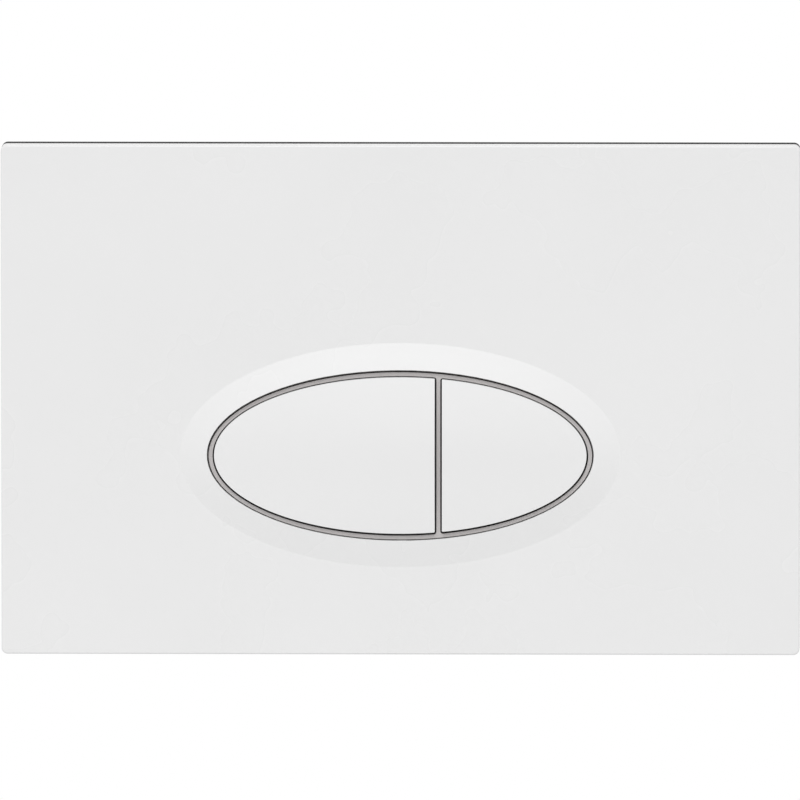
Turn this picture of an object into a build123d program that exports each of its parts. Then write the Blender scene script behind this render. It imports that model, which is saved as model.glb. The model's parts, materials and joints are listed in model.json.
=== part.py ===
from build123d import *
import os
from math import copysign, cos, pi, radians, sin, sqrt, tan

# Flush button plate for a concealed cistern: a moulded cover clipped on a wall frame, with a full and a
# half flush button that press two spring-loaded push rods.
# +X is to the right and +Z up as seen from the room, and +Y goes into the wall. The origin is on the wall
# face, at the middle of the plate. A height is a distance in front of the wall face, negative behind it.

# Front plate
PLATE_WIDTH = 250.0
PLATE_HEIGHT = 160.0
PLATE_FACE = 13.0
PLATE_WALL = 2.5
CORNER_RADIUS = 2.0
EDGE_CHAMFER = 0.35
SIDE_DRAFT = 1.0
RIB_WIDTH = 1.4
RIB_DEPTH = 3.0
RIB_PITCH = 38.0

# Oval button field
FIELD_DROP = 17.2
OPENING_HALF_WIDTH = 60.5
OPENING_HALF_HEIGHT = 26.8
BEVEL_WIDTH = 8.4
BEVEL_RISE = 2.0
LIP_THICKNESS = 4.0
GROOVE_WIDTH = 2.25
GROOVE_DEPTH = 1.8
GROOVE_DRAFT = 1.0
DIVIDER_OFFSET = 11.9

# Buttons
BUTTON_CROWN = 1.6
CROWN_SECTIONS = 5
BUTTON_WALL = 2.2
BUTTON_SKIRT = 7.0
BUTTON_TRAVEL = 6.0
BUTTON_CORNER_RADIUS = 0.3
STEM_REACH = 5.0
LEG_WIDTH = 8.0
LEG_THICKNESS = 2.2
LEG_OFFSET = 13.0
BARB_REACH = 1.3
BARB_LENGTH = 3.6
BARB_LAND = 0.8

# Button carrier
CARRIER_FLOOR = 2.0
FLOOR_GAP = 1.5
CHIMNEY_WALL = 1.6
GUSSET_LENGTH = 8.0
GUSSET_DEPTH = 12.0
FLOOR_RIB_DEPTH = 3.0
SHOULDER = 1.5
LAND_DROP = 0.24

# Push rods and return springs
ROD_SPACING = 60.0
ROD_RADIUS = 3.0
ROD_REACH = 72.0
PLUNGER_SIZE = 11.2
PLUNGER_LENGTH = 8.0
PLUNGER_ROOF = 1.5
SPRING_LENGTH = 19.0
SPRING_WIRE = 0.9
SPRING_RADIUS = 4.5
SPRING_TURNS = 4
SPRING_STEPS = 8
SPIGOT_LENGTH = 3.0
GUIDE_FLANGE = 2.5
FOOT_RADIUS = 5.5
FOOT_LENGTH = 9.0
FOOT_SOCKET = 6.0
FOOT_CHAMFER = 1.5

# Mounting frame
FRAME_THICKNESS = 3.0
FRAME_EDGE = 7.0
FRAME_SIDE_BORDER = 19.0
FRAME_TOP_BORDER = 14.0
FRAME_OPENING_RADIUS = 6.0
UPSTAND_WIDTH = 2.0
UPSTAND_HEIGHT = 4.5
RIM_WIDTH = 1.6
RIM_HEIGHT = 2.5
LUG_WIDTH = 34.0
LUG_END = 12.0
LUG_CHAMFER = 5.0
SLOT_LENGTH = 18.0

# Snap hooks that hold the plate on the frame and the carrier in the plate
CLIP_SPACING = 130.0
CLIP_WIDTH = 12.0
CLIP_THICKNESS = 1.8
CLIP_REACH = 1.0
LEDGE_REACH = 1.4
LEDGE_THICKNESS = 1.5
HOOK_SPACING = 24.0
HOOK_REACH = 2.0
BARB_DEPTH = 2.2

# Wall fixings
FIXING_INSET = 35.0
FIXING_RADIUS = 4.0
FIXING_REACH = 62.0
FIXING_SHOULDER = 3.0
NECK_RADIUS = 3.0
WASHER_SIZE = 18.0
WASHER_THICKNESS = 1.2
NUT_RADIUS = 7.5
NUT_HEIGHT = 4.0
FIXING_END = 0.5

# Clearances, and how far a cut or a fused piece runs past a face
RUNNING_CLEARANCE = 0.36
SLIT = 0.36
BORE_CLEARANCE = 0.4
ROD_CLEARANCE = 0.35
THREAD_CLEARANCE = 0.05
ASSEMBLY_CLEARANCE = 0.3
STEM_PLAY = 0.2
STOP_PLAY = 0.1
SPRING_PLAY = 0.2
SLOT_CLEARANCE = 0.3
RIB_CLEARANCE = 1.5
OVERLAP = 1.0

# Heights that follow from the sizes above
plate_back = PLATE_FACE - PLATE_WALL
rim = PLATE_FACE + BEVEL_RISE
lip_back = rim - LIP_THICKNESS
land = rim - GROOVE_DEPTH
apex = rim + BUTTON_CROWN
cap_back = rim - BUTTON_WALL
skirt_bottom = rim - BUTTON_SKIRT
floor_top = skirt_bottom - BUTTON_TRAVEL - FLOOR_GAP
floor_bottom = floor_top - CARRIER_FLOOR
stem_end = floor_bottom - STEM_REACH
plunger_top = stem_end - STEM_PLAY
plunger_bottom = plunger_top - PLUNGER_LENGTH
spring_seat = plunger_bottom - SPRING_LENGTH
chimney_bottom = spring_seat - SPIGOT_LENGTH
guide_bottom = chimney_bottom - GUIDE_FLANGE
barb_top = floor_bottom - STOP_PLAY
leg_bottom = barb_top - BARB_LENGTH
upstand_top = FRAME_THICKNESS + UPSTAND_HEIGHT
ledge_bottom = upstand_top - LEDGE_THICKNESS
washer_top = FRAME_THICKNESS + WASHER_THICKNESS
nut_top = washer_top + NUT_HEIGHT

# Widths and places that follow
button_half_width = OPENING_HALF_WIDTH - GROOVE_WIDTH
button_half_height = OPENING_HALF_HEIGHT - GROOVE_WIDTH
groove_slope = tan(radians(GROOVE_DRAFT))
groove_lean = GROOVE_DEPTH * groove_slope
bevel_slope = BEVEL_RISE / BEVEL_WIDTH
chimney_bore = PLUNGER_SIZE + 2 * BORE_CLEARANCE
chimney_size = chimney_bore + 2 * CHIMNEY_WALL
frame_opening_width = PLATE_WIDTH - 2 * FRAME_SIDE_BORDER
frame_opening_height = PLATE_HEIGHT - 2 * FRAME_TOP_BORDER
cavity_width = PLATE_WIDTH - 2 * PLATE_WALL
cavity_height = PLATE_HEIGHT - 2 * PLATE_WALL
fixing_places = {"left": FIXING_INSET - PLATE_WIDTH / 2, "right": PLATE_WIDTH / 2 - FIXING_INSET}
sides = {"full_flush": -1, "half_flush": 1}


def at_height(height):
    return Plane.XZ.offset(height)


def slab(outline, low, high):
    """An outline drawn as seen from the room, raised from one height to another."""
    return extrude(at_height(low) * outline, high - low)


def field_oval(extra):
    """An oval round the button field, wider than the plate's opening by extra on every side."""
    return Pos(0, -FIELD_DROP) * Ellipse(OPENING_HALF_WIDTH + extra, OPENING_HALF_HEIGHT + extra)


def side_prism(points, middle, width):
    """A profile of (z, height) points, drawn from the side and spread along X about its middle."""
    outline = make_face(Polyline(*[(-height, z) for z, height in points], close=True))
    return Pos(middle, 0, 0) * extrude(Plane.YZ * outline, width / 2, both=True)


def rod_place(side):
    return Pos(side * ROD_SPACING / 2, -FIELD_DROP)


def four_places(spacing):
    """A place along X and a side, 1 at the top and -1 at the bottom, for each of four pieces."""
    return [(x, side) for x in (-spacing / 2, spacing / 2) for side in (-1, 1)]


# Front plate: a drafted shell with a raised oval bevel, ribs and snap hooks


def plate_shell():
    height = PLATE_FACE - FRAME_EDGE
    outline = at_height(FRAME_EDGE) * RectangleRounded(PLATE_WIDTH, PLATE_HEIGHT, CORNER_RADIUS)
    block = extrude(outline, height, taper=SIDE_DRAFT)
    front = block.faces().sort_by(Axis.Y)[0]
    block = chamfer(front.edges(), EDGE_CHAMFER)
    hollow_outline = at_height(FRAME_EDGE) * Rectangle(cavity_width, cavity_height)
    hollow = extrude(hollow_outline, height - PLATE_WALL, taper=SIDE_DRAFT)
    return block - hollow


def oval_cone(low, low_extra, high, high_extra):
    """A straight-sided solid between two ovals at different heights."""
    lower = at_height(low) * field_oval(low_extra)
    upper = at_height(high) * field_oval(high_extra)
    return loft([lower, upper], ruled=True)


def plate_ribs():
    hook_room = LEDGE_REACH + CLIP_THICKNESS + RIB_CLEARANCE
    reach = frame_opening_width / 2 - hook_room
    rise = frame_opening_height / 2 - hook_room
    columns = int(reach / RIB_PITCH)
    ribs = Sketch()
    for column in range(-columns, columns + 1):
        ribs += Pos(column * RIB_PITCH, 0) * Rectangle(RIB_WIDTH, 2 * rise)
    for z in (-RIB_PITCH, RIB_PITCH):
        ribs += Pos(0, z) * Rectangle(2 * reach, RIB_WIDTH)
    ribs -= field_oval(BEVEL_WIDTH)
    room = WASHER_SIZE + 2 * RIB_CLEARANCE
    for x in fixing_places.values():
        ribs -= Pos(x, 0) * Rectangle(room, room)
    return slab(ribs, plate_back - RIB_DEPTH, plate_back + OVERLAP)


def snap_hook(x, foot, root, catch, reach):
    """A springy arm from the height root, with a barb at the height catch that reaches along Z."""
    back = foot - copysign(CLIP_THICKNESS, reach)
    tip = catch - BARB_DEPTH
    points = [
        (back, root),
        (foot, root),
        (foot, catch),
        (foot + reach, catch),
        (foot, tip),
        (back, tip),
    ]
    return side_prism(points, x, CLIP_WIDTH)


def frame_hooks():
    foot = frame_opening_height / 2 - LEDGE_REACH - ASSEMBLY_CLEARANCE
    root = plate_back + OVERLAP
    catch = ledge_bottom - STOP_PLAY
    places = four_places(CLIP_SPACING)
    return [snap_hook(x, side * foot, root, catch, side * CLIP_REACH) for x, side in places]


def carrier_hooks():
    """Long hooks beside the carrier's tub that catch behind its floor."""
    foot = OPENING_HALF_HEIGHT + SHOULDER + ASSEMBLY_CLEARANCE
    root = lip_back + OVERLAP
    catch = floor_bottom - STOP_PLAY
    places = four_places(HOOK_SPACING)
    return [snap_hook(x, side * foot - FIELD_DROP, root, catch, -side * HOOK_REACH) for x, side in places]


def front_plate():
    plate = plate_shell() + plate_ribs()
    plate += oval_cone(PLATE_FACE, BEVEL_WIDTH, rim + OVERLAP * bevel_slope, -OVERLAP)
    plate -= oval_cone(plate_back, BEVEL_WIDTH - OVERLAP, lip_back, LIP_THICKNESS)
    plate += frame_hooks() + carrier_hooks()
    back_lean = (LIP_THICKNESS + OVERLAP) * groove_slope
    return plate - oval_cone(lip_back - OVERLAP, -back_lean, rim + OVERLAP, OVERLAP * groove_slope)


# Buttons: crowned caps with a skirt, a stem that presses the plunger and two snap legs


def button_outline(side, grow):
    """One button seen from the room: the oval, cut straight beside the divider."""
    oval = field_oval(grow - GROOVE_WIDTH)
    face = DIVIDER_OFFSET + side * (GROOVE_WIDTH / 2 - grow)
    half = Pos(face + side * PLATE_WIDTH / 2, -FIELD_DROP) * Rectangle(PLATE_WIDTH, PLATE_HEIGHT)
    outline = oval & half
    corners = outline.vertices().sort_by(Axis.X)
    beside_divider = corners[-2:] if side < 0 else corners[:2]
    return fillet(beside_divider, BUTTON_CORNER_RADIUS + max(grow, 0))


def crown_radius(half_length):
    return (half_length**2 + BUTTON_CROWN**2) / (2 * BUTTON_CROWN)


def arc_drop(distance, radius):
    return radius - sqrt(radius**2 - distance**2)


def crown_section(x):
    """An upright section through the crown: an arc on top of straight sides."""
    top = apex - arc_drop(x, crown_radius(button_half_width))
    edge = top - arc_drop(OPENING_HALF_HEIGHT, crown_radius(button_half_height))
    base = skirt_bottom - OVERLAP
    low = -FIELD_DROP - OPENING_HALF_HEIGHT
    high = -FIELD_DROP + OPENING_HALF_HEIGHT
    arc = ThreePointArc((-edge, low), (-top, -FIELD_DROP), (-edge, high))
    sides_and_base = Polyline((-edge, high), (-base, high), (-base, low), (-edge, low))
    return Plane.YZ.offset(x) * make_face([arc, sides_and_base])


def under_crown():
    """Everything below the crowned face that both buttons share, flush with the rim all round."""
    spread = OPENING_HALF_WIDTH / (CROWN_SECTIONS // 2)
    middle = CROWN_SECTIONS // 2
    return loft([crown_section((number - middle) * spread) for number in range(CROWN_SECTIONS)])


def snap_leg(side, end):
    """A leg through the carrier's floor, barbed on the side away from the stem."""
    outer = LEG_OFFSET + LEG_THICKNESS / 2
    inner = LEG_OFFSET - LEG_THICKNESS / 2
    points = [
        (inner, rim),
        (outer, rim),
        (outer, barb_top),
        (outer + BARB_REACH, barb_top),
        (outer + BARB_REACH, barb_top - BARB_LAND),
        (outer, leg_bottom),
        (inner, leg_bottom),
    ]
    placed = [(end * z - FIELD_DROP, height) for z, height in points]
    return side_prism(placed, side * ROD_SPACING / 2, LEG_WIDTH)


def drafted_cap(side):
    """The part of a button that stands above the land, with walls that lean in to the crown."""
    ceiling = apex + OVERLAP
    lower = at_height(land) * button_outline(side, groove_lean)
    upper = at_height(ceiling) * button_outline(side, (rim - ceiling) * groove_slope)
    return loft([lower, upper], ruled=True) & under_crown()


def button(side):
    cap = drafted_cap(side) + slab(button_outline(side, groove_lean), skirt_bottom, land)
    cap -= slab(button_outline(side, -BUTTON_WALL), skirt_bottom - OVERLAP, cap_back)
    cap += slab(rod_place(side) * Rectangle(PLUNGER_SIZE, PLUNGER_SIZE), stem_end, rim)
    return cap + [snap_leg(side, end) for end in (-1, 1)]


# Button carrier: an oval tub whose land sits a little low in the opening, with a chimney for each plunger


def leg_window(side, end):
    width = LEG_WIDTH + 2 * RUNNING_CLEARANCE
    outer = LEG_OFFSET + LEG_THICKNESS / 2 + RUNNING_CLEARANCE
    inner = LEG_OFFSET - LEG_THICKNESS / 2 - BARB_REACH - RUNNING_CLEARANCE
    return rod_place(side) * Pos(0, end * (outer + inner) / 2) * Rectangle(width, outer - inner)


def chimney_web(side):
    """A rib along the tub's floor that rises in a gusset on each side of the chimney."""
    wall = chimney_size / 2
    reach = wall + GUSSET_LENGTH
    deep = floor_bottom - GUSSET_DEPTH
    shallow = floor_bottom - FLOOR_RIB_DEPTH
    top = floor_bottom + OVERLAP
    points = [(-reach, top), (reach, top), (reach, shallow), (wall, deep), (-wall, deep), (-reach, shallow)]
    outline = make_face(Polyline(*[(x, -height) for x, height in points], close=True))
    web = extrude(Plane.XY * outline, RIB_WIDTH / 2, both=True)
    return Pos(side * ROD_SPACING / 2, 0, -FIELD_DROP) * web


def button_carrier():
    low = Pos(0, -LAND_DROP)
    tub = slab(field_oval(SHOULDER), floor_bottom, lip_back)
    tub += slab(low * field_oval(-groove_lean - SLIT), floor_bottom, land)
    spine = Pos(0, -FIELD_DROP) * Rectangle(ROD_SPACING, RIB_WIDTH)
    tub += slab(spine, floor_bottom - FLOOR_RIB_DEPTH, floor_bottom + OVERLAP)
    for side in sides.values():
        chimney = rod_place(side) * Rectangle(chimney_size, chimney_size)
        tub += slab(chimney, chimney_bottom, floor_top) + chimney_web(side)
    for side in sides.values():
        well = low * button_outline(side, groove_lean + RUNNING_CLEARANCE)
        tub -= slab(well, floor_top, land + OVERLAP)
        bore = rod_place(side) * Rectangle(chimney_bore, chimney_bore)
        tub -= slab(bore, chimney_bottom - OVERLAP, floor_top + OVERLAP)
        for end in (-1, 1):
            tub -= slab(leg_window(side, end), floor_bottom - OVERLAP, floor_top + OVERLAP)
    return tub


# Push rods: each has a square plunger, a return spring, a guide cap and a foot


def rod_socket(side, clearance):
    """A hexagonal socket whose six flats grip or guide the round rod."""
    return rod_place(side) * RegularPolygon(ROD_RADIUS + clearance, 6, major_radius=False)


def plunger(side):
    block = slab(rod_place(side) * Rectangle(PLUNGER_SIZE, PLUNGER_SIZE), plunger_bottom, plunger_top)
    socket = rod_socket(side, THREAD_CLEARANCE)
    return block - slab(socket, plunger_bottom - OVERLAP, plunger_top - PLUNGER_ROOF)


def return_spring(side):
    """A coil of straight steps, close enough together to read as round."""
    length = SPRING_LENGTH - SPRING_WIRE - 2 * SPRING_PLAY
    start = -plunger_bottom + SPRING_PLAY + SPRING_WIRE / 2
    count = SPRING_TURNS * SPRING_STEPS
    points = []
    for step in range(count + 1):
        angle = 2 * pi * step / SPRING_STEPS
        x = side * ROD_SPACING / 2 + SPRING_RADIUS * cos(angle)
        z = SPRING_RADIUS * sin(angle) - FIELD_DROP
        points.append((x, start + length * step / count, z))
    coil = Polyline(*points)
    wire = Plane(origin=coil @ 0, z_dir=coil % 0) * Rectangle(SPRING_WIRE, SPRING_WIRE)
    return sweep(wire, path=coil, transition=Transition.RIGHT)


def push_rod(side):
    top = plunger_top - PLUNGER_ROOF - STEM_PLAY
    return slab(rod_place(side) * Circle(ROD_RADIUS), -ROD_REACH, top)


def rod_guide(side):
    place = rod_place(side)
    spigot = chimney_bore - 2 * THREAD_CLEARANCE
    guide = slab(place * Rectangle(spigot, spigot), guide_bottom, spring_seat)
    guide += slab(place * Rectangle(chimney_size, chimney_size), guide_bottom, chimney_bottom)
    bore = rod_socket(side, ROD_CLEARANCE)
    return guide - slab(bore, guide_bottom - OVERLAP, spring_seat + OVERLAP)


def rod_foot(side):
    top = FOOT_SOCKET - ROD_REACH
    foot = slab(rod_place(side) * RegularPolygon(FOOT_RADIUS, 6), top - FOOT_LENGTH, top)
    tip = foot.faces().sort_by(Axis.Y)[-1]
    foot = chamfer(tip.edges(), FOOT_CHAMFER)
    return foot - slab(rod_socket(side, THREAD_CLEARANCE), top - FOOT_SOCKET, top + OVERLAP)


# Mounting frame: a flat ring on the wall with a raised edge, ledges for the hooks and slotted lugs


def fixing_lug(x):
    side = 1 if x > 0 else -1
    inner = abs(x) - LUG_END
    outer = frame_opening_width / 2 + OVERLAP
    lug = Pos(side * (inner + outer) / 2, 0) * Rectangle(outer - inner, LUG_WIDTH)
    corners = lug.vertices().sort_by(Axis.X)
    free_corners = corners[:2] if side > 0 else corners[-2:]
    return chamfer(free_corners, LUG_CHAMFER)


def clip_ledge(x, side):
    edge = frame_opening_height / 2
    points = [
        (edge + OVERLAP, upstand_top),
        (edge - LEDGE_REACH, upstand_top - LEDGE_REACH / 2),
        (edge - LEDGE_REACH, ledge_bottom),
        (edge + OVERLAP, ledge_bottom),
    ]
    return side_prism([(side * z, height) for z, height in points], x, CLIP_WIDTH + 2 * OVERLAP)


def mounting_frame():
    outline = RectangleRounded(PLATE_WIDTH, PLATE_HEIGHT, CORNER_RADIUS)
    opening = RectangleRounded(frame_opening_width, frame_opening_height, FRAME_OPENING_RADIUS)
    upstand = RectangleRounded(
        frame_opening_width + 2 * UPSTAND_WIDTH,
        frame_opening_height + 2 * UPSTAND_WIDTH,
        FRAME_OPENING_RADIUS + UPSTAND_WIDTH,
    )
    lugs = Sketch()
    slots = Sketch()
    slot_width = 2 * (NECK_RADIUS + SLOT_CLEARANCE)
    for x in fixing_places.values():
        lugs += fixing_lug(x)
        slots += Pos(x, 0) * SlotOverall(SLOT_LENGTH, slot_width, rotation=90)
    frame = slab(outline - opening + lugs - slots, 0, FRAME_THICKNESS)
    frame += slab(upstand - opening, FRAME_THICKNESS, upstand_top)
    rim_width = cavity_width - 2 * ASSEMBLY_CLEARANCE
    rim_height = cavity_height - 2 * ASSEMBLY_CLEARANCE
    edge_room = Rectangle(rim_width - 2 * RIM_WIDTH, rim_height - 2 * RIM_WIDTH)
    frame += slab(outline - edge_room, FRAME_THICKNESS, FRAME_EDGE)
    frame += slab(Rectangle(rim_width, rim_height) - edge_room, FRAME_EDGE, FRAME_EDGE + RIM_HEIGHT)
    return frame + [clip_ledge(x, side) for x, side in four_places(CLIP_SPACING)]


# Wall fixings: necked studs through the lugs' slots, each with a square washer and a hexagon nut


def fixing_rod(x):
    place = Pos(x, 0)
    neck = slab(place * Circle(NECK_RADIUS), -FIXING_REACH, nut_top + FIXING_END)
    return neck + slab(place * Circle(FIXING_RADIUS), -FIXING_REACH, -FIXING_SHOULDER)


def fixing_washer(x):
    outline = Rectangle(WASHER_SIZE, WASHER_SIZE) - Circle(NECK_RADIUS + SLOT_CLEARANCE)
    return slab(Pos(x, 0) * outline, FRAME_THICKNESS, washer_top)


def fixing_nut(x):
    outline = RegularPolygon(NUT_RADIUS, 6) - Circle(NECK_RADIUS + THREAD_CLEARANCE)
    return slab(Pos(x, 0) * outline, washer_top, nut_top)


# Nodes

nodes = {
    "front_plate": front_plate(),
    "button_carrier": button_carrier(),
    "mounting_frame": mounting_frame(),
}
for name, side in sides.items():
    nodes[name + "_button"] = button(side)
    nodes[name + "_plunger"] = plunger(side)
    nodes[name + "_spring"] = return_spring(side)
    nodes[name + "_push_rod"] = push_rod(side)
    nodes[name + "_rod_guide"] = rod_guide(side)
    nodes[name + "_rod_foot"] = rod_foot(side)
for name, x in fixing_places.items():
    nodes["fixing_rod_" + name] = fixing_rod(x)
    nodes["fixing_washer_" + name] = fixing_washer(x)
    nodes["fixing_nut_" + name] = fixing_nut(x)

os.makedirs("parts", exist_ok=True)
for name, shape in nodes.items():
    export_step(shape, os.path.join("parts", name + ".step"))
    print(name, round(shape.volume, 1))
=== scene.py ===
# %% [markdown]
# # A flush button plate
# A dual flush plate hides the cistern in the wall behind it. A white cover clips on a dark frame, and in
# the cover an oval field holds a large and a small button. Each button presses a plunger and its push rod,
# and a coil spring brings them back. The solids come packed, in metres, and this script dresses them.

import json
import math

import bmesh
import bpy
import numpy as np
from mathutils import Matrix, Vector

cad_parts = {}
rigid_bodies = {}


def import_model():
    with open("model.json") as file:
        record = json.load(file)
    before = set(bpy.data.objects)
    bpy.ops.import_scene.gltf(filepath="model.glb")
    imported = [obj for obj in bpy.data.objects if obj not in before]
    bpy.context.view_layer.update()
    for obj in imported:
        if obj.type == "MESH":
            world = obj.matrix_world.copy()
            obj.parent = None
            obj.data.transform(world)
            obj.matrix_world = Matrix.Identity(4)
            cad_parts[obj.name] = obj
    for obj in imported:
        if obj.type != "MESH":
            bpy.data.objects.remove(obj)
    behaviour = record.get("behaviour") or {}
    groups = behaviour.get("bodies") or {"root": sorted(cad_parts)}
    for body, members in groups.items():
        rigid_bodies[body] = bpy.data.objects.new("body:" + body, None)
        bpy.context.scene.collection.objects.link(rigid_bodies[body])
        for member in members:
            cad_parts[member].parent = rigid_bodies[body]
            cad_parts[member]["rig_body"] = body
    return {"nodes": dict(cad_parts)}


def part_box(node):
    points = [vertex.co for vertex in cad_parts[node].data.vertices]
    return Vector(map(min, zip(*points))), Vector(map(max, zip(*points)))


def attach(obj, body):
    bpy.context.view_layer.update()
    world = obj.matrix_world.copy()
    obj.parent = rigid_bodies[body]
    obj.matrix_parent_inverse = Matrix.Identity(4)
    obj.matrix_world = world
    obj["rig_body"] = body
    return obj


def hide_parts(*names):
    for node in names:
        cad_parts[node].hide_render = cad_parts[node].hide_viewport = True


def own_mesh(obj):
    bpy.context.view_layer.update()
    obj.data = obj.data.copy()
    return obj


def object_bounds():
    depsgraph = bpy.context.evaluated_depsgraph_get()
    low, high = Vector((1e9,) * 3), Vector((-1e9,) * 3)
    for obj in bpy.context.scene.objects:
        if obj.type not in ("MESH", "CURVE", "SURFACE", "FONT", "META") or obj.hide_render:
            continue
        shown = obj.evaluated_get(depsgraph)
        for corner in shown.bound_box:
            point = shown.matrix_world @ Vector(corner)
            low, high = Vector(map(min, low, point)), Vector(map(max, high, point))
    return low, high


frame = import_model()
cad_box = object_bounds()
MM = 0.001
nodes = frame["nodes"]
node_slots = {name: node.data.materials[0].name for name, node in nodes.items()}
for stand_in in list(bpy.data.materials):
    bpy.data.materials.remove(stand_in)

# %% [markdown]
# ## Shared finishes
# Nearly every piece here is a moulding, and a moulding is never one flat colour: the resin flows in faint
# clouds, the mould leaves a fine grain, and handling polishes some patches. The walls of the narrow slits
# beside the groove's floor are painted nearly black with depth. That is painted shade, standing in for the
# shade deep in them.
# Image textures could give all that, but noise in object space needs no seams, so each effect is one node
# group that several materials use.

# %% Helpers that make a node group and fill its sockets
def shader_group(name, inputs, outputs):
    """An empty shader node group with named sockets, and its input and output nodes."""
    group = bpy.data.node_groups.new(name, "ShaderNodeTree")
    for label, value in inputs:
        socket = group.interface.new_socket(label, in_out="INPUT", socket_type="NodeSocketFloat")
        socket.default_value = value
    for label, kind in outputs:
        group.interface.new_socket(label, in_out="OUTPUT", socket_type="NodeSocket" + kind)
    return group, group.nodes.new("NodeGroupInput"), group.nodes.new("NodeGroupOutput")


def feed(tree, socket, value):
    """Links a socket to another node's output, or sets it to a plain value."""
    if isinstance(value, bpy.types.NodeSocket):
        tree.links.new(value, socket)
    else:
        socket.default_value = value


# %% Helpers for noise
NOISE_DETAIL = 3.0
NOISE_LOW = 0.3
NOISE_HIGH = 0.7


def object_noise(tree, scale, detail=NOISE_DETAIL):
    """A noise node that reads object coordinates, so that the pattern stays put on a moving piece."""
    place = tree.nodes.new("ShaderNodeTexCoord")
    noise = tree.nodes.new("ShaderNodeTexNoise")
    noise.inputs["Detail"].default_value = detail
    tree.links.new(place.outputs["Object"], noise.inputs["Vector"])
    feed(tree, noise.inputs["Scale"], scale)
    return noise


def between(tree, value, low, high):
    """A node output that runs from low to high over the range in which most noise lies."""
    node = tree.nodes.new("ShaderNodeMapRange")
    node.inputs["From Min"].default_value = NOISE_LOW
    node.inputs["From Max"].default_value = NOISE_HIGH
    tree.links.new(value, node.inputs["Value"])
    feed(tree, node.inputs["To Min"], low)
    feed(tree, node.inputs["To Max"], high)
    return node.outputs["Result"]


# %% Resin clouds: a mask that drifts slowly over a moulding
CLOUD_SCALE = 18.0


def make_resin_clouds():
    inputs = [("Cloud Scale", CLOUD_SCALE)]
    group, source, result = shader_group("resin_clouds", inputs, [("Mask", "Float")])
    noise = object_noise(group, source.outputs["Cloud Scale"])
    group.links.new(between(group, noise.outputs["Fac"], 0.0, 1.0), result.inputs["Mask"])
    return group


resin_clouds = make_resin_clouds()
print("node group", resin_clouds.name)

# %% Moulded grain: the height of the fine skin, and a roughness with handled patches
GRAIN_DETAIL = 2.0
HANDLED_SCALE = 24.0


def make_moulded_grain():
    inputs = [("Grain Scale", 900.0), ("Smooth", 0.3), ("Rough", 0.4)]
    outputs = [("Height", "Float"), ("Roughness", "Float")]
    group, source, result = shader_group("moulded_grain", inputs, outputs)
    grain = object_noise(group, source.outputs["Grain Scale"], GRAIN_DETAIL)
    handled = object_noise(group, HANDLED_SCALE)
    rough = between(group, handled.outputs["Fac"], source.outputs["Smooth"], source.outputs["Rough"])
    group.links.new(grain.outputs["Fac"], result.inputs["Height"])
    group.links.new(rough, result.inputs["Roughness"])
    return group


moulded_grain = make_moulded_grain()
print("node group", moulded_grain.name)

# %% Plated metal: spangle in the tone and patches in the roughness
SPANGLE_DETAIL = 4.0
PATCH_SCALE = 120.0


def make_plated_metal():
    inputs = [("Spangle Scale", 500.0), ("Smooth", 0.2), ("Rough", 0.4)]
    outputs = [("Mask", "Float"), ("Roughness", "Float"), ("Height", "Float")]
    group, source, result = shader_group("plated_metal", inputs, outputs)
    spangle = object_noise(group, source.outputs["Spangle Scale"], SPANGLE_DETAIL)
    patch = object_noise(group, PATCH_SCALE)
    rough = between(group, patch.outputs["Fac"], source.outputs["Smooth"], source.outputs["Rough"])
    group.links.new(between(group, spangle.outputs["Fac"], 0.0, 1.0), result.inputs["Mask"])
    group.links.new(rough, result.inputs["Roughness"])
    group.links.new(spangle.outputs["Fac"], result.inputs["Height"])
    return group


plated_metal = make_plated_metal()
print("node group", plated_metal.name)

# %% Painted slit shade: a mask that darkens the walls of the narrow slits beside the groove's floor, where shade falls
CARRIER_SHOULDER = 1.5 * MM
OVAL_SLACK = 1.004
PAINTED_SHADE_START = 0.02 * MM
PAINTED_SHADE_DEPTH = 2.2 * MM
PAINTED_SHADE_GAIN = 1.4
PAINTED_SHADE_MOST = 0.95


def calculated(tree, operation, first, second):
    """The output of a Math node, whose inputs are numbers or other nodes' outputs."""
    node = tree.nodes.new("ShaderNodeMath")
    node.operation = operation
    for socket, value in zip(node.inputs, (first, second)):
        feed(tree, socket, value)
    return node.outputs["Value"]


def make_painted_slit_shade():
    """Painted shade, full just behind the groove's floor, fading with depth, and only within the oval
    opening.
    """
    group, source, result = shader_group("painted_slit_shade", [("Depth", PAINTED_SHADE_DEPTH)], [("Mask", "Float")])
    low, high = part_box("button_carrier")
    middle = (low + high) / 2
    half = (high - low) / 2
    place = group.nodes.new("ShaderNodeTexCoord")
    parts = group.nodes.new("ShaderNodeSeparateXYZ")
    group.links.new(place.outputs["Object"], parts.inputs["Vector"])
    # The carrier is centred in X, and reaches past the opening by its shoulder all round.
    across = calculated(group, "DIVIDE", parts.outputs["X"], half.x - CARRIER_SHOULDER)
    raised = calculated(group, "SUBTRACT", parts.outputs["Z"], middle.z)
    along = calculated(group, "DIVIDE", raised, half.z - CARRIER_SHOULDER)
    squares = [calculated(group, "MULTIPLY", value, value) for value in (across, along)]
    inside = calculated(group, "LESS_THAN", calculated(group, "ADD", *squares), OVAL_SLACK)
    behind = calculated(group, "SUBTRACT", parts.outputs["Y"], low.y)
    below = calculated(group, "GREATER_THAN", behind, PAINTED_SHADE_START)
    faded = calculated(group, "SUBTRACT", 1.0, calculated(group, "DIVIDE", behind, source.outputs["Depth"]))
    kept = calculated(group, "MAXIMUM", calculated(group, "MULTIPLY", faded, PAINTED_SHADE_GAIN), 0.0)
    capped = calculated(group, "MINIMUM", kept, PAINTED_SHADE_MOST)
    mask = calculated(group, "MULTIPLY", calculated(group, "MULTIPLY", inside, below), capped)
    group.links.new(mask, result.inputs["Mask"])
    return group


painted_slit_shade = make_painted_slit_shade()
print("node group", painted_slit_shade.name)

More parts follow.
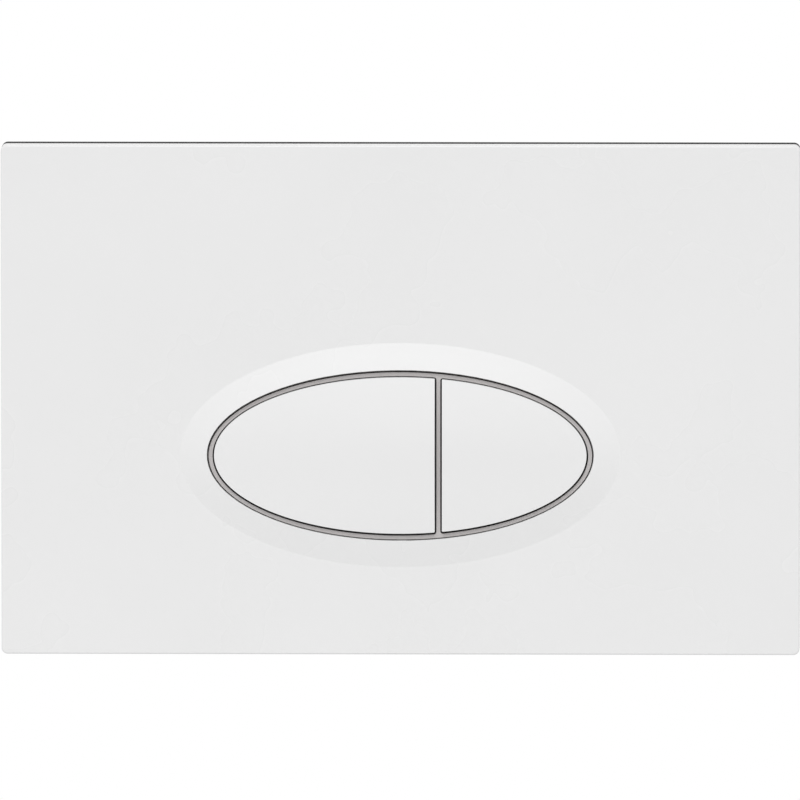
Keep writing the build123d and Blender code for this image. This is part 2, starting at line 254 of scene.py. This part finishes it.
# %% [markdown]
# ## Materials
# The cover and the buttons are the same glossy white plastic. The carrier, which shows from the front only
# as the groove's floor, is a warm grey, and the frame on the wall is dark. Guides and plungers are natural
# acetal, the push rods are grey, their feet are dark, the springs are bright wire and the fixings are zinc
# plated. Each could be built on its own, but two recipes, one for mouldings and one for platings, keep them
# alike.

# %% Helpers for materials
def new_material(name):
    material = bpy.data.materials.new(name)
    material.use_nodes = True
    tree = material.node_tree
    return material, tree, tree.nodes["Principled BSDF"]


def add_group(tree, group, **values):
    """Places a node group, with its inputs given by name."""
    node = tree.nodes.new("ShaderNodeGroup")
    node.node_tree = group
    for label, value in values.items():
        node.inputs[label.replace("_", " ").title()].default_value = value
    return node


def two_tones(tree, mask, first, second):
    """A colour that goes from the first tone to the second with the mask."""
    node = tree.nodes.new("ShaderNodeMix")
    node.data_type = "RGBA"
    for label, tone in (("A", first), ("B", second)):
        feed(tree, node.inputs[label], (*tone, 1.0) if isinstance(tone, tuple) else tone)
    tree.links.new(mask, node.inputs["Factor"])
    return node.outputs["Result"]


def raise_skin(tree, shader, height, strength, distance):
    bump = tree.nodes.new("ShaderNodeBump")
    bump.inputs["Strength"].default_value = strength
    bump.inputs["Distance"].default_value = distance
    tree.links.new(height, bump.inputs["Height"])
    tree.links.new(bump.outputs["Normal"], shader.inputs["Normal"])


# %% The recipe for a moulding
# Painted shade: the near-black tone that the slit walls take on with depth, in place of the shade deep in
# them.
PAINTED_SHADE_TONE = (0.022, 0.020, 0.019)
PLASTIC_SHINE = 0.5
SKIN_STRENGTH = 0.4


def moulded_plastic(name, tones, polish, grain, clouds=CLOUD_SCALE, shine=PLASTIC_SHINE, shaded_slits=False):
    """A moulding in two close tones, with handled patches, a fine skin and maybe painted shade in its joints.

    Polish is its least and its greatest roughness, grain its scale and its depth in millimetres.
    """
    material, tree, shader = new_material(name)
    shader.inputs["Specular IOR Level"].default_value = shine
    smooth, rough = polish
    grain_scale, grain_depth = grain
    cloud = add_group(tree, resin_clouds, cloud_scale=clouds)
    skin = add_group(tree, moulded_grain, grain_scale=grain_scale, smooth=smooth, rough=rough)
    tone = two_tones(tree, cloud.outputs["Mask"], *tones)
    # Painted shade: where the mask is full, the tone goes nearly black, standing in for the shade deep in the
    # slits.
    if shaded_slits:
        slit_shade_node = add_group(tree, painted_slit_shade)
        tone = two_tones(tree, slit_shade_node.outputs["Mask"], tone, PAINTED_SHADE_TONE)
    tree.links.new(tone, shader.inputs["Base Color"])
    tree.links.new(skin.outputs["Roughness"], shader.inputs["Roughness"])
    raise_skin(tree, shader, skin.outputs["Height"], SKIN_STRENGTH, grain_depth * MM)
    return material


# %% The recipe for a plating
PLATING_STRENGTH = 0.2
PLATING_DEPTH = 0.01


def plated(name, tones, polish, spangle):
    """A metal whose plating varies in tone and polish."""
    material, tree, shader = new_material(name)
    shader.inputs["Metallic"].default_value = 1.0
    smooth, rough = polish
    plating = add_group(tree, plated_metal, spangle_scale=spangle, smooth=smooth, rough=rough)
    tree.links.new(two_tones(tree, plating.outputs["Mask"], *tones), shader.inputs["Base Color"])
    tree.links.new(plating.outputs["Roughness"], shader.inputs["Roughness"])
    raise_skin(tree, shader, plating.outputs["Height"], PLATING_STRENGTH, PLATING_DEPTH * MM)
    return material


# %% The nine finishes
def grey(value):
    return (value, value, value)


COVER_TONES = (grey(0.798), grey(0.810))
BUTTON_TONES = (grey(0.802), grey(0.812))
CARRIER_TONES = ((0.525, 0.503, 0.498), (0.56, 0.537, 0.532))
FRAME_TONES = (grey(0.025), grey(0.037))
ACETAL_TONES = ((0.72, 0.71, 0.67), (0.77, 0.76, 0.72))
ROD_TONES = ((0.39, 0.40, 0.41), (0.44, 0.45, 0.46))
FOOT_TONES = (grey(0.03), grey(0.045))
SPRING_TONES = ((0.50, 0.51, 0.52), (0.62, 0.63, 0.64))
ZINC_TONES = ((0.55, 0.57, 0.60), (0.70, 0.71, 0.72))

made = [
    moulded_plastic("white_cover", COVER_TONES, polish=(0.26, 0.30), grain=(700, 0.004), shaded_slits=True),
    moulded_plastic("white_button", BUTTON_TONES, polish=(0.21, 0.24), grain=(700, 0.004), shaded_slits=True),
    moulded_plastic("grey_carrier", CARRIER_TONES, polish=(0.45, 0.55), grain=(900, 0.01), shaded_slits=True),
    moulded_plastic("dark_frame", FRAME_TONES, polish=(0.55, 0.8), grain=(900, 0.15), clouds=75, shine=0.06),
    moulded_plastic("natural_acetal", ACETAL_TONES, polish=(0.35, 0.45), grain=(600, 0.008)),
    moulded_plastic("rod_plastic", ROD_TONES, polish=(0.4, 0.5), grain=(900, 0.01)),
    moulded_plastic("dark_foot", FOOT_TONES, polish=(0.55, 0.7), grain=(1500, 0.03)),
    plated("spring_steel", SPRING_TONES, polish=(0.22, 0.36), spangle=900),
    plated("zinc_steel", ZINC_TONES, polish=(0.25, 0.42), spangle=350),
]
finishes = {material.name: material for material in made}
print("finishes", sorted(finishes))

# %% [markdown]
# ## Rounded mouldings
# A moulding has no knife edges: light runs along each edge as a thin bright line. Every piece could be drawn
# anew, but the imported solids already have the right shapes. So each one is copied, its triangles are merged
# back to whole faces, and its sharp edges are bevelled by one to four tenths of a millimetre. The stamped
# washers have broken edges too and are treated alike.

# %% Helpers that place a piece in its finish
def dress(mesh, piece_name, node_name):
    """Makes a mesh into a piece that stands for a node, in its finish and on its body."""
    piece = bpy.data.objects.new(piece_name, mesh)
    bpy.context.scene.collection.objects.link(piece)
    mesh.materials.clear()
    mesh.materials.append(finishes[node_slots[node_name]])
    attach(piece, nodes[node_name]["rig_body"])
    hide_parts(node_name)
    return piece


def soften(piece):
    """Smooth shading in which the large flat faces keep their own direction."""
    piece.data.shade_smooth()
    piece.modifiers.new("weighted_normals", "WEIGHTED_NORMAL").keep_sharp = True
    return piece


# %% Helpers that round a copy of a solid
LEAST_ANGLE = 25.0
MOST_ANGLE = 120.0
FLAT_ANGLE = 0.05
FRONT_LEVEL = -12.5
SAME_POINT = 0.0005
ROUND_STEPS = 2
ROUND_PROFILE = 0.5


def is_sharp(edge, front_angle):
    """Whether an edge turns enough to be rounded, but not so far that the rounding would fold over."""
    in_front = all(vertex.co.y < FRONT_LEVEL * MM for vertex in edge.verts)
    least = front_angle if in_front else LEAST_ANGLE
    return least < math.degrees(edge.calc_face_angle(0.0)) < MOST_ANGLE


def rounded_copy(piece_name, node_name, width, front_angle=LEAST_ANGLE):
    """A copy of a node with its flat triangles merged and its edges rounded by a width in millimetres."""
    work = bmesh.new()
    work.from_mesh(nodes[node_name].data)
    bmesh.ops.remove_doubles(work, verts=work.verts, dist=SAME_POINT * MM)
    flat = math.radians(FLAT_ANGLE)
    bmesh.ops.dissolve_limit(work, angle_limit=flat, verts=work.verts, edges=work.edges)
    sharp = [edge for edge in work.edges if is_sharp(edge, front_angle)]
    bmesh.ops.bevel(
        work,
        geom=sharp,
        offset=width * MM,
        offset_type="OFFSET",
        segments=ROUND_STEPS,
        profile=ROUND_PROFILE,
        affect="EDGES",
        clamp_overlap=True,
    )
    mesh = bpy.data.meshes.new(piece_name)
    work.to_mesh(mesh)
    work.free()
    piece = soften(dress(mesh, piece_name, node_name))
    print(piece_name, len(sharp), "edges rounded,", len(mesh.polygons), "faces")
    return piece


# %% Cover, carrier, frame and the small pieces
# On the cover's front the slope of the raised oval is shallow, and its edges are rounded too.
COVER_FRONT_ANGLE = 10.0
rounded_copy("cover_moulding", "front_plate", width=0.12, front_angle=COVER_FRONT_ANGLE)
rounded_copy("carrier_moulding", "button_carrier", width=0.18)
rounded_copy("frame_moulding", "mounting_frame", width=0.15)
for flush in ("full_flush", "half_flush"):
    rounded_copy(flush + "_cap", flush + "_button", width=0.15)
    rounded_copy(flush + "_plunger_block", flush + "_plunger", width=0.3)
    rounded_copy(flush + "_guide_cap", flush + "_rod_guide", width=0.3)
    rounded_copy(flush + "_foot_cap", flush + "_rod_foot", width=0.4)
for hand in ("left", "right"):
    rounded_copy("square_washer_" + hand, "fixing_washer_" + hand, width=0.2)

# %% [markdown]
# ## Threads
# The push rods are moulded with a coarse blunt thread, so that the fitter can screw each one to length, and
# the studs are rolled. A screw modifier could turn a profile, but a grid whose rows already climb with the
# helix has no seam, and its ends can be cut flat and closed.

# %% Helpers that make an open threaded tube
WELD = 0.002
LEAD_TURNS = 1.5


def cut_ends(work, start, end):
    """Cuts a tube off flat at two levels of Y, in millimetres, and welds what lies too close there."""
    for y, direction in ((start, -1), (end, 1)):
        geom = work.verts[:] + work.edges[:] + work.faces[:]
        cut = {"plane_co": (0, y * MM, 0), "plane_no": (0, direction, 0), "dist": WELD * MM}
        bmesh.ops.bisect_plane(work, geom=geom, clear_outer=True, **cut)
    bmesh.ops.remove_doubles(work, verts=work.verts, dist=WELD * MM)


def threaded_tube(centre, start, end, radius, pitch, depth, around=28):
    """An open threaded tube along Y, in millimetres, with a lead-in at both ends."""
    work = bmesh.new()
    profile = (radius, radius, radius - depth, radius - depth)
    per_turn = len(profile)
    rows = int((end - start) / pitch + 2 * LEAD_TURNS) * per_turn
    grid = []
    for row in range(rows + per_turn):
        ring = []
        for step in range(around):
            y = start - LEAD_TURNS * pitch + pitch * (row / per_turn + step / around)
            inside = max(min(y - start, end - y), 0.0)
            reach = min(profile[row % per_turn], radius - depth + inside)
            angle = 2 * math.pi * step / around
            place = (centre[0] + reach * math.cos(angle), y, centre[1] + reach * math.sin(angle))
            ring.append(work.verts.new(Vector(place) * MM))
        grid.append(ring)
    # After one time round, a row goes on as the row that lies one turn further.
    for row in range(rows - 1):
        for step in range(around):
            last = step == around - 1
            beside = grid[row + per_turn][0] if last else grid[row][step + 1]
            above = grid[row + 1 + per_turn][0] if last else grid[row + 1][step + 1]
            work.faces.new((grid[row][step], grid[row + 1][step], above, beside))
    loose = [vertex for vertex in work.verts if not vertex.link_faces]
    bmesh.ops.delete(work, geom=loose, context="VERTS")
    cut_ends(work, start, end)
    return work


# %% Helpers that close a bar and make it a piece
SHARP_ANGLE = 35.0


def closed_bar(tubes):
    """Joins tubes that meet end to end, and closes their flat ends and the shoulder between them."""
    bar = bmesh.new()
    for tube in tubes:
        part = bpy.data.meshes.new("part")
        tube.to_mesh(part)
        tube.free()
        bar.from_mesh(part)
        bpy.data.meshes.remove(part)
    rims = {}
    for edge in bar.edges:
        if edge.is_boundary:
            rims.setdefault(round(edge.verts[0].co.y / MM, 1), []).append(edge)
    for rim in rims.values():
        bmesh.ops.triangle_fill(bar, use_beauty=True, edges=rim)
    bmesh.ops.recalc_face_normals(bar, faces=bar.faces)
    return bar


def finish_mesh(work, piece_name, node_name):
    """Makes a closed mesh into a piece, with every edge over the sharp angle kept sharp."""
    mesh = bpy.data.meshes.new(piece_name)
    work.to_mesh(mesh)
    work.free()
    mesh.shade_smooth()
    mesh.set_sharp_from_angle(angle=math.radians(SHARP_ANGLE))
    print(piece_name, len(mesh.polygons), "faces")
    return dress(mesh, piece_name, node_name)


# %% Push rods
def middle_and_ends(node_name):
    """The (x, z) middle of a node and its lowest and highest Y, in millimetres."""
    low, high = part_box(node_name)
    middle = (low + high) / (2 * MM)
    return (middle.x, middle.z), low.y / MM, high.y / MM


for flush in ("full_flush", "half_flush"):
    centre, start, end = middle_and_ends(flush + "_push_rod")
    tube = threaded_tube(centre, start, end, radius=3.0, pitch=1.5, depth=0.4)
    finish_mesh(closed_bar([tube]), flush + "_threaded_rod", flush + "_push_rod")

# %% Studs, with a thinner neck that goes through the frame
STUD_SHOULDER = 3.0
for hand in ("left", "right"):
    centre, start, end = middle_and_ends("fixing_rod_" + hand)
    neck = threaded_tube(centre, start, STUD_SHOULDER, radius=3.0, pitch=1.0, depth=0.5)
    body = threaded_tube(centre, STUD_SHOULDER, end, radius=4.0, pitch=1.25, depth=0.6, around=32)
    finish_mesh(closed_bar([neck, body]), "threaded_stud_" + hand, "fixing_rod_" + hand)

# %% [markdown]
# ## Nuts
# A hexagon nut has its corners turned off, which leaves an arc on each flat. A cone could be cut from a
# prism, but rings of points that follow the hexagon and drop with its corners give that arc without a cut.

# %% Nuts
HALF_SIDE = math.pi / 6
NUT_STEPS = 96
NUT_BORE = 3.05
BORE_CHAMFER = 0.5
TURNED_SHARE = 0.96
CHAMFER_SLOPE = 0.55


def nut_outline(angle, corner, start, end):
    """The nut's section at an angle round its axis, as (radius, y) in millimetres."""
    flat = corner * math.cos(HALF_SIDE)
    turned = flat * TURNED_SHARE
    within = (angle + HALF_SIDE) % (2 * HALF_SIDE) - HALF_SIDE
    hexagon = flat / math.cos(HALF_SIDE - abs(within))
    drop = max(hexagon - turned, 0.0) * CHAMFER_SLOPE
    return [
        (NUT_BORE, start + BORE_CHAMFER),
        (NUT_BORE + BORE_CHAMFER, start),
        (turned, start),
        (hexagon, start + drop),
        (hexagon, end),
        (NUT_BORE, end),
    ]


def hexagon_nut(piece_name, node_name):
    """A nut made of rings that follow its hexagon, with turned corners on the side that shows."""
    centre, start, end = middle_and_ends(node_name)
    low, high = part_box(node_name)
    corner = (high.x - low.x) / (2 * MM)
    work = bmesh.new()
    rings = []
    for step in range(NUT_STEPS):
        angle = 2 * math.pi * step / NUT_STEPS
        ring = []
        for radius, y in nut_outline(angle, corner, start, end):
            place = (centre[0] + radius * math.cos(angle), y, centre[1] + radius * math.sin(angle))
            ring.append(work.verts.new(Vector(place) * MM))
        rings.append(ring)
    for here, there in zip(rings, rings[1:] + rings[:1]):
        for level in range(len(here)):
            above = (level + 1) % len(here)
            work.faces.new((here[level], here[above], there[above], there[level]))
    bmesh.ops.recalc_face_normals(work, faces=work.faces)
    return finish_mesh(work, piece_name, node_name)


for hand in ("left", "right"):
    hexagon_nut("hexagon_nut_" + hand, "fixing_nut_" + hand)

# %% [markdown]
# ## Springs
# A coil spring has closed ends, so that it stands straight, and it shortens as its rod goes in. A curve with
# a round bevel could draw it, but rings swept along the helix give even faces and a closed mesh.

# %% Springs
OPEN_TURNS = 4.0
CLOSED_TURNS = 0.9
SPRING_TURNS = OPEN_TURNS + 2 * CLOSED_TURNS
COIL_RADIUS = 4.5
COIL_STEPS = 40
WIRE_RADIUS = 0.45
WIRE_SIDES = 10


def wire_ring(work, centre, turn, y):
    """One ring of points round the wire, at a number of turns along the coil."""
    angle = 2 * math.pi * turn
    outward = Vector((math.cos(angle), 0, math.sin(angle)))
    middle = Vector((centre[0], y, centre[1])) + outward * COIL_RADIUS
    ring = []
    for number in range(WIRE_SIDES):
        bearing = 2 * math.pi * number / WIRE_SIDES
        offset = outward * math.cos(bearing) + Vector((0, 1, 0)) * math.sin(bearing)
        ring.append(work.verts.new((middle + offset * WIRE_RADIUS) * MM))
    return ring


def coil_spring(piece_name, node_name):
    centre, start, end = middle_and_ends(node_name)
    first, last = start + WIRE_RADIUS, end - WIRE_RADIUS
    closed = CLOSED_TURNS * 2 * WIRE_RADIUS
    marks = (0.0, CLOSED_TURNS, SPRING_TURNS - CLOSED_TURNS, SPRING_TURNS)
    levels = (first, first + closed, last - closed, last)
    work = bmesh.new()
    rings = []
    for step in range(int(SPRING_TURNS * COIL_STEPS) + 1):
        turn = step / COIL_STEPS
        rings.append(wire_ring(work, centre, turn, float(np.interp(turn, marks, levels))))
    for here, there in zip(rings, rings[1:]):
        for number in range(WIRE_SIDES):
            beside = (number + 1) % WIRE_SIDES
            work.faces.new((here[number], here[beside], there[beside], there[number]))
    work.faces.new(rings[0])
    work.faces.new(rings[-1])
    bmesh.ops.recalc_face_normals(work, faces=work.faces)
    spring = finish_mesh(work, piece_name, node_name)
    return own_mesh(spring)


for flush in ("full_flush", "half_flush"):
    coil_spring(flush + "_coil", flush + "_spring")

# %% [markdown]
# ## Floor, light and camera
# The plate is shown nearly straight on, a little from above, with nothing behind it. One broad softbox hangs
# over the camera and white surroundings fill the shade, so what faces up is brighter. More lamps could draw
# the raised oval, but a dim opening in the surroundings, as the dark room behind a camera is, does it with
# less: the flat face mirrors the opening, and the tilted bevel mirrors the white beside it.

# %% Floor
FLOOR_HALF = 1.8
FLOOR_DROP = 0.25
FLOOR_TONES = (grey(0.78), grey(0.80))


def make_floor():
    half = FLOOR_HALF
    level = cad_box[0].z - FLOOR_DROP
    corners = [(-half, -half, level), (half, -half, level), (half, half, level), (-half, half, level)]
    mesh = bpy.data.meshes.new("floor")
    mesh.from_pydata(corners, [], [(0, 1, 2, 3)])
    floor = bpy.data.objects.new("floor", mesh)
    bpy.context.scene.collection.objects.link(floor)
    pale = moulded_plastic("pale_floor", FLOOR_TONES, polish=(0.7, 0.8), grain=(40, 0.01), clouds=1.5)
    mesh.materials.append(pale)
    return floor


floor = make_floor()
print("floor at", round(floor.data.vertices[0].co.z, 3), "m")

# %% World
WORLD_FILL = 0.7
OPENING_DROOP = 15.0
OPENING_INNER = 7.0
OPENING_OUTER = 19.0


def dim_opening(tree):
    """A factor that is 1 all round and falls to 0 in a soft round opening on the camera's side."""
    facing = tree.nodes.new("ShaderNodeTexCoord")
    towards = tree.nodes.new("ShaderNodeVectorMath")
    towards.operation = "DOT_PRODUCT"
    droop = math.radians(OPENING_DROOP)
    towards.inputs[1].default_value = (0.0, -math.cos(droop), -math.sin(droop))
    tree.links.new(facing.outputs["Generated"], towards.inputs[0])
    opening = tree.nodes.new("ShaderNodeMapRange")
    opening.interpolation_type = "SMOOTHSTEP"
    opening.inputs["From Min"].default_value = math.cos(math.radians(OPENING_OUTER))
    opening.inputs["From Max"].default_value = math.cos(math.radians(OPENING_INNER))
    opening.inputs["To Min"].default_value = 1.0
    opening.inputs["To Max"].default_value = 0.0
    tree.links.new(towards.outputs["Value"], opening.inputs["Value"])
    return opening.outputs["Result"]


def make_world(fill):
    """White to the camera and, but for the dim opening, in reflections, and a soft fill for all else."""
    world = bpy.data.worlds.new("studio")
    world.use_nodes = True
    tree = world.node_tree
    background = tree.nodes["Background"]
    background.inputs["Color"].default_value = (1.0, 1.0, 1.0, 1.0)
    path = tree.nodes.new("ShaderNodeLightPath")
    seen = path.outputs["Is Camera Ray"]
    for kind in ("Is Glossy Ray", "Is Transmission Ray"):
        seen = calculated(tree, "MAXIMUM", seen, path.outputs[kind])
    white = tree.nodes.new("ShaderNodeMapRange")
    white.inputs["To Min"].default_value = fill
    white.inputs["To Max"].default_value = 1.0
    tree.links.new(seen, white.inputs["Value"])
    shown = calculated(tree, "MAXIMUM", dim_opening(tree), path.outputs["Is Camera Ray"])
    strength = calculated(tree, "MULTIPLY", white.outputs["Result"], shown)
    tree.links.new(strength, background.inputs["Strength"])
    bpy.context.scene.world = world
    return world


world = make_world(WORLD_FILL)
print("world", world.name)

# %% Softbox
KEY_PLACE = (-0.3, -4.2, 3.6)
KEY_TARGET = (0.0, 0.0, 0.0)
KEY_SIZE = 2.4
KEY_POWER = 124.0


def softbox(name, place, target, size, power):
    lamp = bpy.data.lights.new(name, "AREA")
    lamp.shape = "RECTANGLE"
    lamp.size = size
    lamp.size_y = size
    lamp.energy = power
    box = bpy.data.objects.new(name, lamp)
    box.location = place
    box.rotation_euler = (Vector(target) - Vector(place)).to_track_quat("-Z", "Y").to_euler()
    bpy.context.scene.collection.objects.link(box)
    return box


key_box = softbox("key_softbox", KEY_PLACE, KEY_TARGET, KEY_SIZE, KEY_POWER)
print("softbox", key_box.name)

# %% Camera
PIXELS = 800
PLATE_PIXELS = 799.5
AZIMUTH = 1.0
ELEVATION = 5.2
DISTANCE = 6.0
CAMERA_AIM = (-0.0001, -0.013, 0.0001)
CLIP_START = 0.05
CLIP_END = 50.0


def make_camera():
    """A long lens, nearly straight on, with the plate as wide as the picture."""
    lens = bpy.data.cameras.new("camera")
    width = cad_box[1].x - cad_box[0].x
    seen = width * PIXELS / PLATE_PIXELS
    lens.lens = lens.sensor_width * DISTANCE / seen
    lens.clip_start = CLIP_START
    lens.clip_end = CLIP_END
    camera = bpy.data.objects.new("camera", lens)
    turn = math.radians(AZIMUTH)
    tilt = math.radians(ELEVATION)
    back = Vector((math.sin(turn) * math.cos(tilt), -math.cos(turn) * math.cos(tilt), math.sin(tilt)))
    camera.location = Vector(CAMERA_AIM) + back * DISTANCE
    camera.rotation_euler = (-back).to_track_quat("-Z", "Y").to_euler()
    bpy.context.scene.collection.objects.link(camera)
    bpy.context.scene.camera = camera
    return camera


camera = make_camera()
bpy.context.scene.view_settings.view_transform = "Standard"
print("lens", round(camera.data.lens), "mm")
